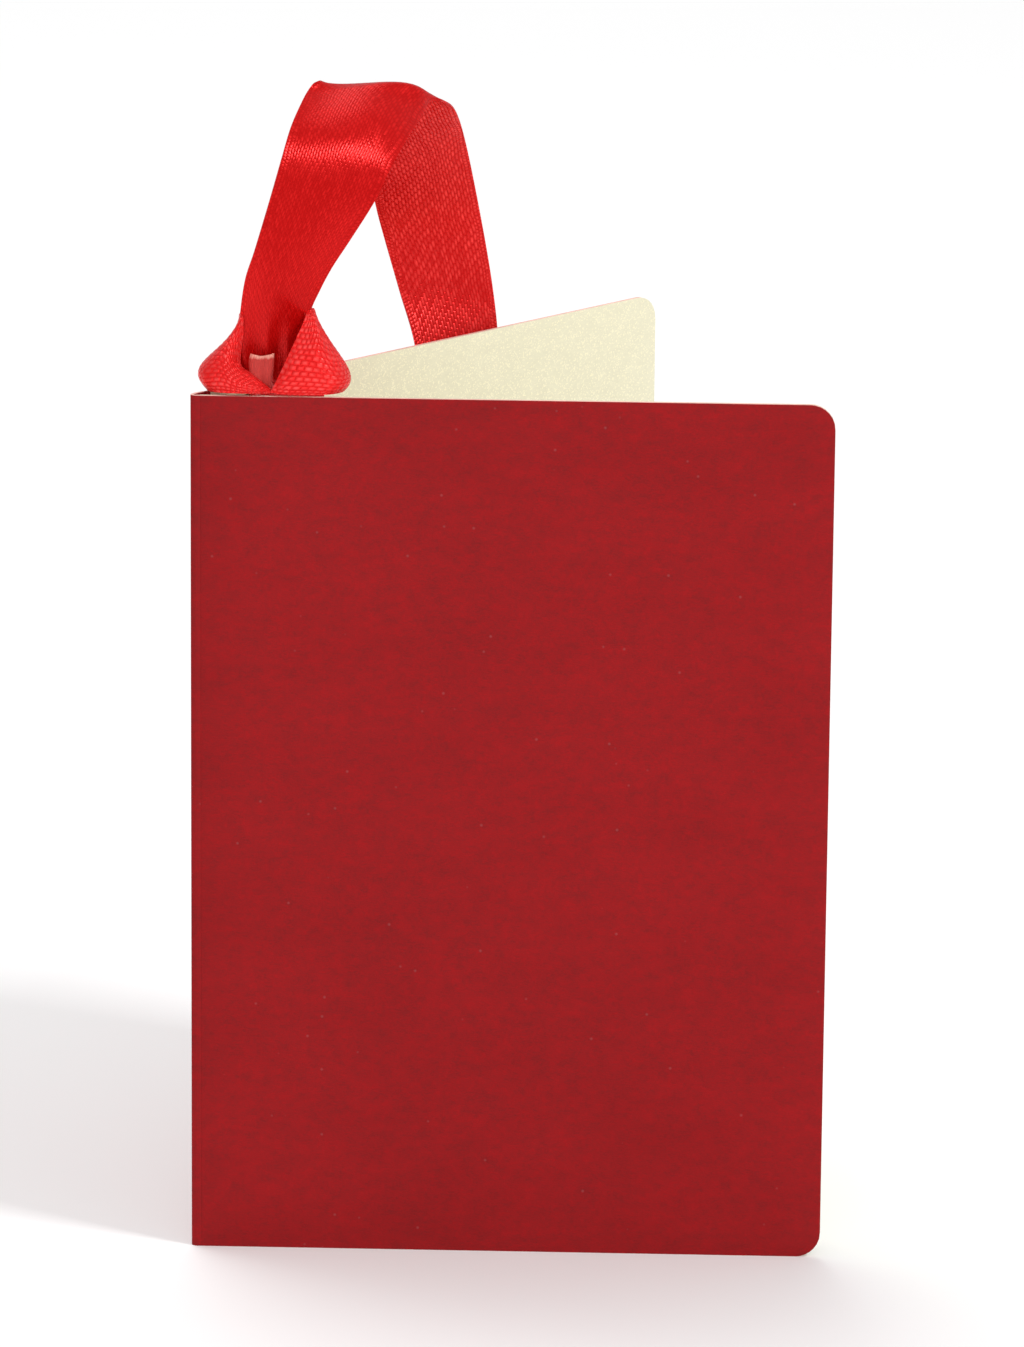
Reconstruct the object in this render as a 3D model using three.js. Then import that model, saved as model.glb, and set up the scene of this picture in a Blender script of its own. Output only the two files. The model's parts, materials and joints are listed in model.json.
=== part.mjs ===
// Pocket notebook: a folded two-tone card cover with a square spine, a thin glued block of
// leaves, and a satin ribbon knotted through a punched hole in the back cover.
// Millimetres, +Z up. The notebook stands on its lower edges, partly open, front cover along X.
// It is built from the front crease and then moved so that the origin is the middle of its base.
import * as THREE from 'three';

// Driving dimensions.
const HEIGHT = 105;
const COVER_WIDTH = 75.4;
const CARD = 0.4;
const LINING = 0.12;
const CORNER_RADIUS = 3;
const SEAM_GAP = 0.03;
const CREASE_GAP = 0.03;

// The spine runs from the front crease to the back crease, seen from above.
const BACK_CREASE = new THREE.Vector2(1.47, 2.32);
const SPINE_WIDTH = BACK_CREASE.length();
const SPINE_ANGLE = BACK_CREASE.angle();
const OPEN_ANGLE = THREE.MathUtils.degToRad(46.64);
const CLOSED_TURN = THREE.MathUtils.degToRad(44.5);

// Leaves.
const LEAF_COUNT = 10;
const LEAF = 0.08;
const LEAF_PITCH = 0.1;
const LEAF_WIDTH = 72;
const LEAF_MARGIN = 2.2;
const LEAF_FAN = THREE.MathUtils.degToRad(0.25);
const LEAF_EDGE = 0.4;
const FIRST_LEAF_OFFSET = BACK_CREASE.y - CARD - SEAM_GAP - LINING - 0.09;

// Binding glue.
const GLUE_GAP = 0.05;
const GLUE_MARGIN = 3;

// Ribbon, and the punched hole that it passes through.
const RIBBON = 0.3;
const HOLE_RADIUS = 2.5;
const HOLE_FROM_CREASE = 13;
const HOLE_FROM_TOP = 10;
const HOLE_Z = HEIGHT - HOLE_FROM_TOP;
const KNOT_BASE = HEIGHT + 0.25;
const PIECE_GAP = 0.3;

const CARD_RED = { color: 0x972124, roughness: 0.85, metalness: 0 };
const PEARL_IVORY = { color: 0xeee8c8, roughness: 0.45, metalness: 0.1 };
const LEAF_PAPER = { color: 0xf2eeda, roughness: 0.8, metalness: 0 };
const GLUE = { color: 0xe9e2cd, roughness: 0.5, metalness: 0 };
const SATIN_RED = { color: 0xd0201f, roughness: 0.4, metalness: 0 };

const notebook = new THREE.Group();
const front = new THREE.Group();
const spine = new THREE.Group();
spine.rotation.z = SPINE_ANGLE;
const back = new THREE.Group();
back.position.set(BACK_CREASE.x, BACK_CREASE.y, 0);
back.rotation.z = OPEN_ANGLE;
notebook.add(front, spine, back);

function addPiece(parent, name, geometry, finish) {
  const mesh = new THREE.Mesh(geometry, new THREE.MeshStandardMaterial(finish));
  mesh.name = name;
  parent.add(mesh);
  return mesh;
}

// A sheet's outline in its own plane: square at the bound edge, round at the fore-edge corners.
function sheetOutline(start, end, bottom, top, radius) {
  const outline = new THREE.Shape();
  outline.moveTo(start, bottom);
  outline.lineTo(end - radius, bottom);
  outline.absarc(end - radius, bottom + radius, radius, -Math.PI / 2, 0, false);
  outline.lineTo(end, top - radius);
  outline.absarc(end - radius, top - radius, radius, 0, Math.PI / 2, false);
  outline.lineTo(start, top);
  outline.closePath();
  return outline;
}

// A standing sheet between local y = low and y = high.
function standingSheet(outline, low, high) {
  const geometry = new THREE.ExtrudeGeometry(outline, {
    depth: high - low,
    bevelEnabled: false,
    curveSegments: 8,
  });
  geometry.rotateX(Math.PI / 2);
  geometry.translate(0, high, 0);
  return geometry;
}

// Mitres the bound edge of a sheet, so that the two sides of a crease meet on a bisector.
function mitreBoundEdge(geometry, start, innerY, setback) {
  const points = geometry.attributes.position;
  for (let i = 0; i < points.count; i += 1) {
    const onEdge = Math.abs(points.getX(i) - start) < 1e-4;
    const onInside = Math.abs(points.getY(i) - innerY) < 1e-4;
    if (onEdge && onInside) {
      points.setX(i, start + setback);
    }
  }
  return geometry;
}

// A prism standing on a polygon seen from above.
function standingPrism(corners, bottom, top) {
  const outline = new THREE.Shape(corners.map(([x, y]) => new THREE.Vector2(x, y)));
  const geometry = new THREE.ExtrudeGeometry(outline, { depth: top - bottom, bevelEnabled: false });
  geometry.translate(0, 0, bottom);
  return geometry;
}

// A flat band between two edge curves, with a constant thickness.
function ribbonBand(leftPoints, rightPoints, steps, thickness) {
  const left = new THREE.CatmullRomCurve3(leftPoints.map((p) => new THREE.Vector3(...p)));
  const right = new THREE.CatmullRomCurve3(rightPoints.map((p) => new THREE.Vector3(...p)));
  const positions = [];
  for (let i = 0; i <= steps; i += 1) {
    const t = i / steps;
    const a = left.getPoint(t);
    const b = right.getPoint(t);
    const along = left.getTangent(t).add(right.getTangent(t));
    const across = b.clone().sub(a);
    const normal = across.cross(along).normalize().multiplyScalar(thickness / 2);
    for (const corner of [a.clone().add(normal), b.clone().add(normal),
      b.clone().sub(normal), a.clone().sub(normal)]) {
      positions.push(corner.x, corner.y, corner.z);
    }
  }
  const faces = [[0, 1, 2], [0, 2, 3]];
  for (let i = 0; i < steps; i += 1) {
    const here = 4 * i;
    for (let side = 0; side < 4; side += 1) {
      const a = here + side;
      const b = here + ((side + 1) % 4);
      faces.push([a, a + 4, b + 4], [a, b + 4, b]);
    }
  }
  const last = 4 * steps;
  faces.push([last, last + 2, last + 1], [last, last + 3, last + 2]);
  const geometry = new THREE.BufferGeometry();
  geometry.setAttribute('position', new THREE.Float32BufferAttribute(positions, 3));
  geometry.setIndex(faces.flat());
  return facingOut(geometry);
}

// Turns a closed mesh right side out where its signed volume is negative.
function facingOut(geometry) {
  const index = geometry.index.array;
  const points = geometry.attributes.position;
  const corner = (i) => new THREE.Vector3().fromBufferAttribute(points, index[i]);
  let volume = 0;
  for (let i = 0; i < index.length; i += 3) {
    volume += corner(i).dot(corner(i + 1).cross(corner(i + 2)));
  }
  if (volume < 0) {
    for (let i = 0; i < index.length; i += 3) {
      [index[i], index[i + 1]] = [index[i + 1], index[i]];
    }
  }
  return geometry;
}

// Covers. The front card's inside faces +Y; the spine's and the back card's insides face local -Y.
function addFrontCover() {
  const mitre = CARD / Math.tan(SPINE_ANGLE / 2);
  const card = standingSheet(
    sheetOutline(CREASE_GAP, COVER_WIDTH, 0, HEIGHT, CORNER_RADIUS), 0, CARD);
  addPiece(front, 'front_cover', mitreBoundEdge(card, CREASE_GAP, CARD, mitre), CARD_RED);
  const liningStart = mitre + 0.4;
  const liningFace = CARD + SEAM_GAP;
  addPiece(front, 'front_lining', standingSheet(
    sheetOutline(liningStart, COVER_WIDTH, 0, HEIGHT, CORNER_RADIUS),
    liningFace, liningFace + LINING), PEARL_IVORY);
}

function addSpine() {
  const frontMitre = CARD / Math.tan(SPINE_ANGLE / 2);
  const backMitre = CARD * Math.tan((SPINE_ANGLE - OPEN_ANGLE + CLOSED_TURN) / 2);
  const corners = [
    [CREASE_GAP, 0],
    [CREASE_GAP + frontMitre, -CARD],
    [SPINE_WIDTH - CREASE_GAP - backMitre, -CARD],
    [SPINE_WIDTH - CREASE_GAP, 0],
  ];
  addPiece(spine, 'spine_card', standingPrism(corners, 0, HEIGHT), CARD_RED);
}

function punchedHole() {
  const hole = new THREE.Path();
  hole.absarc(HOLE_FROM_CREASE, HOLE_Z, HOLE_RADIUS, 0, 2 * Math.PI, true);
  return hole;
}

function addBackCover() {
  const mitre = CARD * Math.tan((SPINE_ANGLE - OPEN_ANGLE + CLOSED_TURN) / 2);
  const outline = sheetOutline(CREASE_GAP, COVER_WIDTH, 0, HEIGHT, CORNER_RADIUS);
  outline.holes.push(punchedHole());
  const card = standingSheet(outline, -CARD, 0);
  addPiece(back, 'back_cover', mitreBoundEdge(card, CREASE_GAP, -CARD, mitre), CARD_RED);
  const lining = sheetOutline(mitre + 0.4, COVER_WIDTH, 0, HEIGHT, CORNER_RADIUS);
  lining.holes.push(punchedHole());
  const liningFace = -CARD - SEAM_GAP;
  addPiece(back, 'back_lining', standingSheet(lining, liningFace - LINING, liningFace), PEARL_IVORY);
}

// The leaves lean on the front cover and turn about the back crease, where the block is held.
function addLeaves() {
  for (let i = 0; i < LEAF_COUNT; i += 1) {
    const leafHinge = new THREE.Group();
    leafHinge.position.set(BACK_CREASE.x, BACK_CREASE.y, 0);
    leafHinge.rotation.z = LEAF_FAN * (i + 1);
    notebook.add(leafHinge);
    const middle = -FIRST_LEAF_OFFSET + i * LEAF_PITCH;
    const outline = sheetOutline(
      LEAF_EDGE, LEAF_EDGE + LEAF_WIDTH, LEAF_MARGIN, HEIGHT - LEAF_MARGIN, CORNER_RADIUS);
    const name = `leaf_${String(i + 1).padStart(2, '0')}`;
    addPiece(leafHinge, name, standingSheet(outline, middle - LEAF / 2, middle + LEAF / 2), LEAF_PAPER);
  }
}

// The glue fills the space between the spine and the leaves' bound edges.
function addGlue() {
  const low = CARD + SEAM_GAP + LINING + GLUE_GAP;
  const high = low + LEAF_COUNT * LEAF_PITCH;
  const spineInside = (y) => {
    const alongSpine = (y + CARD * Math.cos(SPINE_ANGLE)) / Math.sin(SPINE_ANGLE);
    return CARD * Math.sin(SPINE_ANGLE) + alongSpine * Math.cos(SPINE_ANGLE) + GLUE_GAP;
  };
  const leafSide = BACK_CREASE.x + LEAF_EDGE - GLUE_GAP;
  const corners = [
    [spineInside(low), low],
    [leafSide, low],
    [leafSide, high],
    [spineInside(high), high],
  ];
  addPiece(notebook, 'binding_glue', standingPrism(corners, GLUE_MARGIN, HEIGHT - GLUE_MARGIN), GLUE);
}

// The ribbon, from the knot up, over the top fold, down behind the back cover and back to the hole.
function addRibbonLoop() {
  addPiece(notebook, 'ribbon_stem', ribbonBand(
    [[5.3, 4.9, 113.2], [6.1, 5.2, 117.7], [6.8, 6.4, 121.4], [7.9, 8.5, 126.0], [9.7, 11.5, 130.8]],
    [[13.4, 8.0, 113.5], [14.4, 9.5, 115.4], [16.0, 11.0, 118.0], [18.1, 12.0, 121.2], [20.6, 14.0, 125.2]],
    10, RIBBON), SATIN_RED);
  addPiece(notebook, 'ribbon_top_fold', ribbonBand(
    [[9.9, 11.8, 131.3], [11.5, 14.0, 135.0], [12.9, 16.4, 138.4], [13.9, 17.8, 139.2],
      [14.9, 19.0, 137.6], [16.8, 20.4, 132.7]],
    [[20.9, 14.3, 125.7], [23.0, 17.3, 129.6], [25.0, 20.3, 133.6], [26.6, 22.3, 136.1],
      [27.8, 23.7, 136.4], [29.1, 24.6, 135.2]],
    14, RIBBON), SATIN_RED);
  addPiece(notebook, 'ribbon_back_strand', ribbonBand(
    [[17.1, 20.8, 132.0], [19.4, 24.4, 127.1], [20.6, 28.0, 120.6], [22.9, 31.0, 111.5],
      [24.9, 33.2, 103.7], alongBack(37.6, 2.4, 90.2)],
    [[29.4, 25.0, 134.5], [31.0, 26.6, 130.4], [32.6, 28.9, 122.6], [33.8, 35.5, 112.5],
      [34.6, 39.7, 104.5], alongBack(49.2, 1.7, 101.4)],
    18, RIBBON), SATIN_RED);
}

// A point given along the back cover from its crease, outwards from its outer face, and up.
function alongBack(along, outwards, z) {
  const offset = new THREE.Vector2(along, outwards).rotateAround(new THREE.Vector2(), OPEN_ANGLE);
  return [BACK_CREASE.x + offset.x, BACK_CREASE.y + offset.y, z];
}

function addRibbonAtHole() {
  const plugRadius = 1.7;
  const inside = CARD + SEAM_GAP + LINING + 0.03;
  const innerThickness = 0.25;
  const outerEnd = 1.1;
  const plug = new THREE.CylinderGeometry(plugRadius, plugRadius, outerEnd + inside + innerThickness, 16);
  plug.translate(HOLE_FROM_CREASE, (outerEnd - inside - innerThickness) / 2, HOLE_Z);
  addPiece(back, 'ribbon_through_hole', plug, SATIN_RED);
  const returnStart = HOLE_FROM_CREASE + plugRadius + PIECE_GAP;
  addPiece(back, 'ribbon_return', ribbonBand(
    [[36.8, 1.0, 89.0], [28, 0.8, 89.0], [21, 0.7, 90.5], [returnStart, 0.7, HOLE_Z - 1.7]],
    [[48.6, 1.0, 101.0], [30, 0.8, 101.0], [21, 0.7, 99.5], [returnStart, 0.7, HOLE_Z + 1.7]],
    12, RIBBON), SATIN_RED);
  const innerMiddle = -inside - innerThickness / 2;
  const innerStart = HOLE_Z + plugRadius + PIECE_GAP;
  addPiece(back, 'ribbon_inner_strand', ribbonBand(
    [[11.6, innerMiddle, innerStart], [8.6, innerMiddle, 101], [6.5, innerMiddle, 104.9]],
    [[14.4, innerMiddle, innerStart], [16, innerMiddle, 101], [17, innerMiddle, 104.9]],
    6, innerThickness), SATIN_RED);
}

// The knot stands on the top edges at the spine: a core with two lapels and a cut end before it.
function addKnot() {
  const core = [[2.6, KNOT_BASE], [15.9, KNOT_BASE], [15.9, 109], [13.2, 112.8], [5.6, 112.8], [2.4, 109]];
  const leftLapel = [[1.9, KNOT_BASE], [8.9, KNOT_BASE], [6.2, 106.6], [4.6, 109.4], [5.2, 112.6],
    [1.4, 108.9], [1.1, 108.1]];
  const rightLapel = [[9.6, KNOT_BASE], [17.9, KNOT_BASE], [18.4, 107.1], [18.1, 109.1],
    [16.6, 110.7], [14.9, 112.8], [13.8, 114.9]];
  const tail = [[8.3, 106.4], [9.4, 106], [9.6, 109.6], [6.9, 109.6], [6.6, 107.3]];
  const slab = (corners, low, high) => standingSheet(
    new THREE.Shape(corners.map(([x, z]) => new THREE.Vector2(x, z))), low, high);
  addPiece(notebook, 'ribbon_knot_core', slab(core, 2.2, 8.6), SATIN_RED);
  addPiece(notebook, 'ribbon_left_lapel', slab(leftLapel, 0.2, 1.9), SATIN_RED);
  addPiece(notebook, 'ribbon_right_lapel', slab(rightLapel, 0.2, 1.9), SATIN_RED);
  addPiece(notebook, 'ribbon_cut_end', slab(tail, 1.3, 1.6), SATIN_RED);
}

addFrontCover();
addSpine();
addGlue();
addLeaves();
addBackCover();
addRibbonLoop();
addRibbonAtHole();
addKnot();

// The origin is the middle of the base.
const bounds = new THREE.Box3().setFromObject(notebook, true);
notebook.position.set(-(bounds.min.x + bounds.max.x) / 2, -(bounds.min.y + bounds.max.y) / 2, -bounds.min.z);

export default notebook;
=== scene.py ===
"""Pocket notebook with a folded two-tone card cover and a knotted satin ribbon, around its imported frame."""

import json
import math
from functools import partial

import bmesh
import bpy
import numpy as np
from mathutils import Matrix, Vector


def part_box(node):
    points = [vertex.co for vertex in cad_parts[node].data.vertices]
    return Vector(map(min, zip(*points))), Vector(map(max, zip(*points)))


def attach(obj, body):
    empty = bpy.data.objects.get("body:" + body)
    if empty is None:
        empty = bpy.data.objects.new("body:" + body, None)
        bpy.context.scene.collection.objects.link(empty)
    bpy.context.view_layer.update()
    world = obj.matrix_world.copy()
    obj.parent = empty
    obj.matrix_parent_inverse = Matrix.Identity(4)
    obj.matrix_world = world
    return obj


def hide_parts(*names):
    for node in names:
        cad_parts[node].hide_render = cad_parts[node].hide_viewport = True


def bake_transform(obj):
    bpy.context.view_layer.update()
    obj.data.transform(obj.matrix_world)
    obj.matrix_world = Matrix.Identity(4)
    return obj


bl_info = {
    "name": "Pocket Notebook",
    "version": (1, 0, 0),
    "blender": (4, 5, 0),
    "location": "View3D > Sidebar > Notebook",
    "description": "Builds a small ribbon-tied notebook piece by piece",
    "category": "Add Mesh",
}

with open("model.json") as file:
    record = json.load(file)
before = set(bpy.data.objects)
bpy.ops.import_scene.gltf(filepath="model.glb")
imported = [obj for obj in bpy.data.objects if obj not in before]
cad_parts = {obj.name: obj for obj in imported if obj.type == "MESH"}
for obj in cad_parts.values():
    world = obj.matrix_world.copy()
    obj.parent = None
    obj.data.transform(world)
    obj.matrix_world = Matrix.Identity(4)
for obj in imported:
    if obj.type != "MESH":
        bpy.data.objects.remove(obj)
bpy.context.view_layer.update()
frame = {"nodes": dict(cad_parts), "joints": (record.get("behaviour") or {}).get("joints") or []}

MM = 0.001
LEAF_COUNT = 10
OPEN_ANGLE = math.radians(46.64)
CREASE_GAP = 0.03 * MM
HINGES = {joint["name"]: Vector(joint["pos_m"]) for joint in frame["joints"]}
FRONT_CREASE = Vector((HINGES["front_crease"].x, HINGES["front_crease"].y, 0))
BACK_CREASE = Vector((HINGES["back_crease"].x, HINGES["back_crease"].y, 0))
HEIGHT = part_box("front_cover")[1].z
COVER_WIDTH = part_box("front_cover")[1].x - FRONT_CREASE.x

# The fold's and the spine's outer face, in millimetres from the front crease.
FOLD_END = 1.2
FOLD_OUTLINE = [(FOLD_END, 0), (0.62, 0.02), (0.17, 0.22), (0.0, 0.62), (0.14, 1.05)]
SPINE_OUTLINE = [(0.14, 1.05), (0.5, 1.55), (1.0, 1.97)]
SPINE_MITRE = 0.21 * MM

# What lies between the front card and the first leaf.
SEAM_GAP = 0.03
CAD_LINING = 0.12
FIRST_LEAF_GAP = 0.09
LEAF_FAN = math.radians(0.25)

SATIN_INSIDE = ((0.60, 0.004, 0.004), (1.0, 0.055, 0.05))
# Crown tone of the knot's reverse-side satin, raised brighter as painted light where the lapels face the key
# lamp.
REVERSE_PAINTED_LIGHT = (1.0, 0.085, 0.08)
GLUE_TONE = (0.81, 0.76, 0.61)
# Pale rim of the cut end: frayed threads, and partly painted light where the cut end catches the lamps.
FRAYED_LIT_THREAD = (0.92, 0.36, 0.28)
FRAYED_FROM = 3.7 * MM
FRAY_DEPTH = 0.4 * MM
FRAY_BLUR = 0.3 * MM


# ---------------------------------------------------------------- sizes and colours

def length(name, description, default):
    return bpy.props.FloatProperty(name=name, description=description, default=default, subtype="DISTANCE",
                                   unit="LENGTH", precision=5)


def colour(name, description, default):
    return bpy.props.FloatVectorProperty(name=name, description=description, default=default, size=3,
                                         subtype="COLOR", min=0, max=1)


class NotebookSizes(bpy.types.PropertyGroup):
    card: length("Card", "Thickness of the red card", 0.4 * MM)
    lining: length("Lining", "Thickness of the pasted ivory sheet", 0.14 * MM)
    leaf: length("Leaf", "Thickness of one leaf", 0.08 * MM)
    leaf_pitch: length("Leaf pitch", "Distance between leaves at the spine", 0.1 * MM)
    leaf_width: length("Leaf width", "Width of a leaf", 72 * MM)
    leaf_margin: length("Leaf margin", "How far a leaf stops below the cover's edge", 2.2 * MM)
    corner_radius: length("Corner radius", "Radius of the fore-edge corners", 3 * MM)
    card_bow: length("Card bow", "How far a cover bows outwards in its middle", 0.0)
    leaf_bow: length("Leaf bow", "How far a leaf bows in its middle", 0.12 * MM)
    hole_radius: length("Hole radius", "Radius of the punched ribbon hole", 2.5 * MM)
    hole_from_crease: length("Hole from crease", "Hole's distance from the back crease", 13 * MM)
    hole_from_top: length("Hole from top", "Hole's distance below the top edge", 10 * MM)
    ribbon_width: length("Ribbon width", "Width of the flat ribbon", 12 * MM)
    ribbon: length("Ribbon", "Thickness of the ribbon", 0.24 * MM)
    thread: length("Thread", "Width of one bundle of satin threads", 0.30 * MM)
    float_length: length("Float", "Length of one satin float", 0.85 * MM)


class NotebookColours(bpy.types.PropertyGroup):
    card: colour("Card", "Outside of the cover", (0.300, 0.009, 0.011))
    card_core: colour("Card core", "Cut edge of the card", (0.82, 0.50, 0.43))
    ivory: colour("Ivory", "Pearly inside of the cover", (0.82, 0.78, 0.58))
    paper: colour("Paper", "Leaves", (0.87, 0.84, 0.68))
    ribbon: colour("Ribbon", "Satin ribbon", (0.52, 0.003, 0.003))
    ribbon_light: colour("Ribbon light", "Threads that catch the light", (0.84, 0.014, 0.013))
    # The knot's reverse-side tone is raised brighter as painted light.
    ribbon_reverse_painted_lit: colour("Ribbon reverse painted lit", "Reverse side of the ribbon, brightened as painted light, on the knot", (0.84, 0.009, 0.009))
    # The cut end's greyish-pink tone is partly its thin frayed weave and partly painted light.
    ribbon_end: colour("Ribbon end", "Frayed cut end of the ribbon", (0.55, 0.052, 0.045))


# ---------------------------------------------------------------- node helpers

VECTOR = "NodeSocketVector"
MATERIAL = "NodeSocketMaterial"
GEOMETRY = "NodeSocketGeometry"
NUMBER_SOCKETS = {float: "NodeSocketFloat", int: "NodeSocketInt"}


def feed(tree, value, socket):
    """Links a value into an input if it is a socket, and otherwise sets it as the input's own value."""
    if isinstance(value, bpy.types.NodeSocket):
        tree.links.new(value, socket)
    else:
        socket.default_value = value


def add_node(tree, kind, values=None, **settings):
    """A new node with its settings, and then its inputs fed by their names or numbers."""
    node = tree.nodes.new(kind)
    for name, value in settings.items():
        setattr(node, name, value)
    for name, value in (values or {}).items():
        feed(tree, value, node.inputs[name])
    return node


def math_node(tree, operation, *values):
    """A Math node of a shader or geometry tree, with sockets or plain numbers as its inputs."""
    return add_node(tree, "ShaderNodeMath", dict(enumerate(values)), operation=operation).outputs[0]


def arithmetic(tree, *operations):
    """Functions that make Math nodes of the given operations in a tree."""
    return [partial(math_node, tree, operation) for operation in operations]


def new_group(name, inputs, outputs, kind="ShaderNodeTree", output_type="NodeSocketFloat"):
    """A node group; each named input has a number as its default, or else the type of its socket."""
    group = bpy.data.node_groups.new(name, kind)
    for label, value in inputs.items():
        socket_type = NUMBER_SOCKETS.get(type(value), value)
        socket = group.interface.new_socket(label, in_out="INPUT", socket_type=socket_type)
        if socket_type != value:
            socket.default_value = value
    for label in outputs:
        group.interface.new_socket(label, in_out="OUTPUT", socket_type=output_type)
    start = group.nodes.new("NodeGroupInput")
    end = group.nodes.new("NodeGroupOutput")
    return group, start.outputs, end.inputs


def place_group(tree, group, **values):
    """Puts a shader group into a material and feeds its inputs by name, with underscores for spaces."""
    node = add_node(tree, "ShaderNodeGroup", node_tree=group)
    for name, value in values.items():
        feed(tree, value, node.inputs[name.replace("_", " ").capitalize()])
    return node.outputs


def scaled_position(tree, vector, x, y, z):
    return add_node(tree, "ShaderNodeVectorMath", {0: vector, 1: (x, y, z)}, operation="MULTIPLY").outputs[0]


def noise(tree, vector, scale, detail=2.0, roughness=0.5):
    values = {"Vector": vector, "Scale": scale, "Detail": detail, "Roughness": roughness}
    return add_node(tree, "ShaderNodeTexNoise", values, noise_dimensions="3D").outputs["Fac"]


def remap(tree, value, low, high, new_low, new_high):
    values = {"Value": value, "From Min": low, "From Max": high, "To Min": new_low, "To Max": new_high}
    return add_node(tree, "ShaderNodeMapRange", values).outputs["Result"]


def mix_colour(tree, factor, first, second, blend="MIX"):
    values = {"Factor": factor, "A": first, "B": second}
    return add_node(tree, "ShaderNodeMix", values, data_type="RGBA", blend_type=blend).outputs["Result"]


# ---------------------------------------------------------------- shader groups

def fibre_group():
    """Paper fibre: grain laid along the sheet, broader clouding, sparse pale flecks, the grain's height."""
    group, given, out = new_group(
        "Paper fibre", {"Position": VECTOR, "Fibre scale": 1300.0, "Cloud scale": 110.0},
        ("Grain", "Cloud", "Fleck", "Height"))
    add, multiply = arithmetic(group, "ADD", "MULTIPLY")
    position, scale = given["Position"], given["Fibre scale"]
    along = scaled_position(group, position, 0.5, 0.5, 1.0)
    fibres = noise(group, along, scale, 5.0, 0.6)
    blotches = noise(group, position, multiply(scale, 0.45), 3.0)
    cloud = noise(group, along, given["Cloud scale"], 4.0)
    tooth = noise(group, along, multiply(scale, 3.6), 2.0, 0.7)
    coarse = add(multiply(fibres, 0.35), multiply(blotches, 0.2))
    grain = add(coarse, multiply(tooth, 0.45))
    spots = add_node(group, "ShaderNodeTexVoronoi", {"Vector": position, "Scale": multiply(scale, 0.25)})
    feed(group, remap(group, grain, 0.38, 0.62, 0.0, 1.0), out["Grain"])
    feed(group, remap(group, cloud, 0.3, 0.7, 0.0, 1.0), out["Cloud"])
    feed(group, remap(group, spots.outputs["Distance"], 0.03, 0.07, 1.0, 0.0), out["Fleck"])
    feed(group, grain, out["Height"])
    return group


def sparkle_group():
    """Pearl pigment: small flat flakes, most of them dull and a few bright."""
    group, given, out = new_group(
        "Pearl flakes", {"Position": VECTOR, "Flake scale": 6500.0, "Bright share": 0.16}, ("Flake", "Tilt"))
    cells = add_node(group, "ShaderNodeTexVoronoi",
                     {"Vector": given["Position"], "Scale": given["Flake scale"]}, feature="F1")
    split = add_node(group, "ShaderNodeSeparateColor", {0: cells.outputs["Color"]})
    threshold = math_node(group, "SUBTRACT", 1.0, given["Bright share"])
    feed(group, math_node(group, "GREATER_THAN", split.outputs[0], threshold), out["Flake"])
    feed(group, split.outputs[1], out["Tilt"])
    return group


def satin_group():
    """Satin weave on a band's own map, in metres: staggered floats along the band between thread valleys."""
    group, given, out = new_group(
        "Satin weave",
        {"Map": VECTOR, "Thread": 0.30 * MM, "Float": 0.85 * MM, "Step": 0.4, "Band width": 12 * MM,
         "Selvage": 0.9 * MM}, ("Crown", "Shade", "Height"))
    add, subtract, multiply, divide = arithmetic(group, "ADD", "SUBTRACT", "MULTIPLY", "DIVIDE")
    split = add_node(group, "ShaderNodeSeparateXYZ", {0: given["Map"]})
    shift = multiply(subtract(noise(group, given["Map"], 240.0, 1.0), 0.5), 0.8 * MM)
    half = multiply(given["Band width"], 0.5)
    from_middle = math_node(group, "ABSOLUTE", subtract(split.outputs[0], half))
    edge = math_node(group, "GREATER_THAN", from_middle, subtract(half, given["Selvage"]))
    wide = multiply(given["Selvage"], 0.5)

    def at_edge(inside):
        """The given size, or the selvage's wide one at the band's edges."""
        return add(inside, multiply(edge, subtract(wide, inside)))

    def arch(value):
        """Half a wave over every whole step of the value."""
        return math_node(group, "SINE", multiply(math_node(group, "FRACT", value), math.pi))

    across = divide(add(split.outputs[0], shift), at_edge(given["Thread"]))
    column = math_node(group, "FLOOR", across)
    along = divide(add(split.outputs[1], shift), at_edge(given["Float"]))
    row = add(along, multiply(column, given["Step"]))
    height = multiply(math_node(group, "POWER", arch(across), 0.7), math_node(group, "POWER", arch(row), 0.6))
    cell = add_node(group, "ShaderNodeCombineXYZ", {0: column, 1: math_node(group, "FLOOR", row)})
    chance = add_node(group, "ShaderNodeTexWhiteNoise", {"Vector": cell.outputs[0]}, noise_dimensions="2D")
    feed(group, math_node(group, "POWER", height, 1.6), out["Crown"])
    feed(group, chance.outputs["Value"], out["Shade"])
    feed(group, height, out["Height"])
    return group


# ---------------------------------------------------------------- materials

def rgba(colour_value, factor=1.0):
    return tuple(min(1.0, c * factor) for c in colour_value) + (1.0,)


def new_material(name, roughness, specular=0.5):
    material = bpy.data.materials.new(name)
    material.use_nodes = True
    tree = material.node_tree
    shader = tree.nodes["Principled BSDF"].inputs
    shader["Roughness"].default_value = roughness
    shader["Specular IOR Level"].default_value = specular
    return material, tree, shader


def object_position(tree):
    return add_node(tree, "ShaderNodeTexCoord").outputs["Object"]


def add_bump(tree, shader, height, strength, distance):
    bump = add_node(tree, "ShaderNodeBump", {"Strength": strength, "Distance": distance, "Height": height})
    feed(tree, bump.outputs["Normal"], shader["Normal"])


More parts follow.
